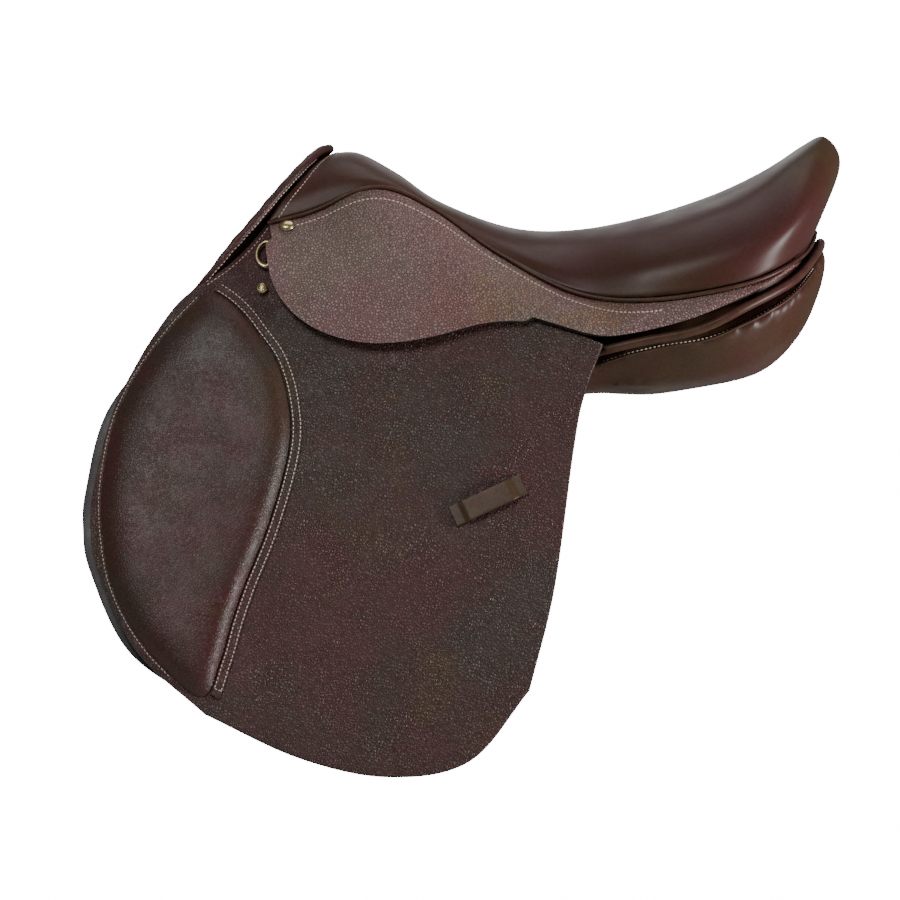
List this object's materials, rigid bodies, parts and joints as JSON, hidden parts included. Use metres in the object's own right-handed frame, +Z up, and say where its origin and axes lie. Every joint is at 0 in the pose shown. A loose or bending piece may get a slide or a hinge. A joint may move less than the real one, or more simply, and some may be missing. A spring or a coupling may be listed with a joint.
{
  "type": "saddle",
  "caption": "English jumping saddle on a wooden tree, with lifting skirts and flaps, knee pads, stuffed panels, stirrup bars with catches, dees and girth straps with buckle guards",
  "frame": {"origin": "On the middle plane, at the ceiling of the gullet channel below the dip of the seat, where the saddle stands over the horse's spine", "axes": "+X runs back to the cantle, +Y to the off (right) side, +Z up"},
  "size_m": [0.5872, 0.4426, 0.4922],
  "materials": {
    "smooth_leather": "satin",
    "grained_leather": "pebbled satin",
    "dark_leather": "matte",
    "strap_leather": "satin",
    "foam": "matte",
    "laminated_wood": "varnished",
    "steel": "brushed",
    "webbing": "woven",
    "brass": "polished"
  },
  "bodies": {
    "saddle": {"seat_cover": "smooth_leather", "seat_foam": "foam", "tree": "laminated_wood", "gullet_plate": "steel", "seat_web_long": "webbing", "seat_web_cross": "webbing", "front_facing": "smooth_leather", "cantle_back": "smooth_leather", "seat_welt": "smooth_leather", "panel_welt": "smooth_leather", "left_tree_spring": "steel", "left_skirt_top": "grained_leather", "left_panel": "smooth_leather", "left_sweat_flap": "dark_leather", "left_flap_top": "grained_leather", "left_stirrup_bar": "steel", "left_catch_pin": "steel", "left_front_strap_web": "webbing", "left_rear_strap_web": "webbing", "left_knee_pad_top": "smooth_leather", "left_pommel_nail": "brass", "left_flap_stud": "brass", "left_dee_chape": "strap_leather", "right_tree_spring": "steel", "right_skirt_top": "grained_leather", "right_panel": "smooth_leather", "right_sweat_flap": "dark_leather", "right_flap_top": "grained_leather", "right_stirrup_bar": "steel", "right_catch_pin": "steel", "right_front_strap_web": "webbing", "right_rear_strap_web": "webbing", "right_knee_pad_top": "smooth_leather", "right_pommel_nail": "brass", "right_flap_stud": "brass", "right_dee_chape": "strap_leather"},
    "left_flap": {"left_flap": "grained_leather", "left_knee_pad": "smooth_leather", "left_knee_edging": "grained_leather", "left_keeper": "strap_leather"},
    "left_skirt": {"left_skirt": "grained_leather"},
    "left_bar_catch": {"left_bar_catch": "steel"},
    "left_dee": {"left_dee": "brass"},
    "left_front_strap": {"left_front_girth_strap": "strap_leather"},
    "left_middle_strap": {"left_middle_girth_strap": "strap_leather"},
    "left_rear_strap": {"left_rear_girth_strap": "strap_leather"},
    "left_buckle_guard": {"left_buckle_guard": "strap_leather"},
    "right_flap": {"right_flap": "grained_leather", "right_knee_pad": "smooth_leather", "right_knee_edging": "grained_leather", "right_keeper": "strap_leather"},
    "right_skirt": {"right_skirt": "grained_leather"},
    "right_bar_catch": {"right_bar_catch": "steel"},
    "right_dee": {"right_dee": "brass"},
    "right_front_strap": {"right_front_girth_strap": "strap_leather"},
    "right_middle_strap": {"right_middle_girth_strap": "strap_leather"},
    "right_rear_strap": {"right_rear_girth_strap": "strap_leather"},
    "right_buckle_guard": {"right_buckle_guard": "strap_leather"}
  },
  "joints": [
    {"name": "left_flap_lift", "type": "hinge", "parent": "saddle", "child": "left_flap", "pos_m": [0, -0.15, -0.044], "axis": [-0.9929, 0.1191, 0], "range_deg": [0, 80]},
    {"name": "left_skirt_lift", "type": "hinge", "parent": "saddle", "child": "left_skirt", "pos_m": [-0.224, -0.0865, 0.04], "axis": [-0.9318, 0.2208, 0.2879], "range_deg": [0, 70]},
    {"name": "left_bar_catch_turn", "type": "hinge", "parent": "saddle", "child": "left_bar_catch", "pos_m": [-0.11473, -0.10825, -0.00255], "axis": [-0.1092, -0.9096, 0.4008], "range_deg": [0, 75]},
    {"name": "left_dee_swing", "type": "hinge", "parent": "saddle", "child": "left_dee", "pos_m": [-0.22092, -0.08581, 0.02602], "axis": [0.0596, 0.4964, 0.8661], "range_deg": [0, 30]},
    {"name": "left_front_strap_swing", "type": "hinge", "parent": "saddle", "child": "left_front_strap", "pos_m": [-0.106, -0.1156, -0.056], "axis": [-0.0693, -0.9559, 0.2852], "range_deg": [-5, 5]},
    {"name": "left_middle_strap_swing", "type": "hinge", "parent": "saddle", "child": "left_middle_strap", "pos_m": [-0.068, -0.11999, -0.056], "axis": [-0.0696, -0.9595, 0.2729], "range_deg": [-5, 5]},
    {"name": "left_rear_strap_swing", "type": "hinge", "parent": "saddle", "child": "left_rear_strap", "pos_m": [-0.03, -0.12438, -0.056], "axis": [-0.0698, -0.963, 0.2604], "range_deg": [-5, 5]},
    {"name": "left_buckle_guard_slide", "type": "slide", "parent": "left_middle_strap", "child": "left_buckle_guard", "axis": [0, 0.2735, 0.9619], "range_m": [-0.045, 0.05]},
    {"name": "right_flap_lift", "type": "hinge", "parent": "saddle", "child": "right_flap", "pos_m": [0, 0.15, -0.044], "axis": [0.9929, 0.1191, 0], "range_deg": [0, 80]},
    {"name": "right_skirt_lift", "type": "hinge", "parent": "saddle", "child": "right_skirt", "pos_m": [-0.224, 0.0865, 0.04], "axis": [0.9318, 0.2208, -0.2879], "range_deg": [0, 70]},
    {"name": "right_bar_catch_turn", "type": "hinge", "parent": "saddle", "child": "right_bar_catch", "pos_m": [-0.11473, 0.10825, -0.00255], "axis": [0.1092, -0.9096, -0.4008], "range_deg": [0, 75]},
    {"name": "right_dee_swing", "type": "hinge", "parent": "saddle", "child": "right_dee", "pos_m": [-0.22092, 0.08581, 0.02602], "axis": [-0.0596, 0.4964, -0.8661], "range_deg": [0, 30]},
    {"name": "right_front_strap_swing", "type": "hinge", "parent": "saddle", "child": "right_front_strap", "pos_m": [-0.106, 0.1156, -0.056], "axis": [0.0693, -0.9559, -0.2852], "range_deg": [-5, 5]},
    {"name": "right_middle_strap_swing", "type": "hinge", "parent": "saddle", "child": "right_middle_strap", "pos_m": [-0.068, 0.11999, -0.056], "axis": [0.0696, -0.9595, -0.2729], "range_deg": [-5, 5]},
    {"name": "right_rear_strap_swing", "type": "hinge", "parent": "saddle", "child": "right_rear_strap", "pos_m": [-0.03, 0.12438, -0.056], "axis": [0.0698, -0.963, -0.2604], "range_deg": [-5, 5]},
    {"name": "right_buckle_guard_slide", "type": "slide", "parent": "right_middle_strap", "child": "right_buckle_guard", "axis": [0, -0.2735, 0.9619], "range_m": [-0.045, 0.05]}
  ],
  "couplings": [
    {"joint": "left_middle_strap_swing", "follows": "left_front_strap_swing", "ratio": 1},
    {"joint": "left_rear_strap_swing", "follows": "left_front_strap_swing", "ratio": 1},
    {"joint": "right_middle_strap_swing", "follows": "right_front_strap_swing", "ratio": 1},
    {"joint": "right_rear_strap_swing", "follows": "right_front_strap_swing", "ratio": 1}
  ]
}
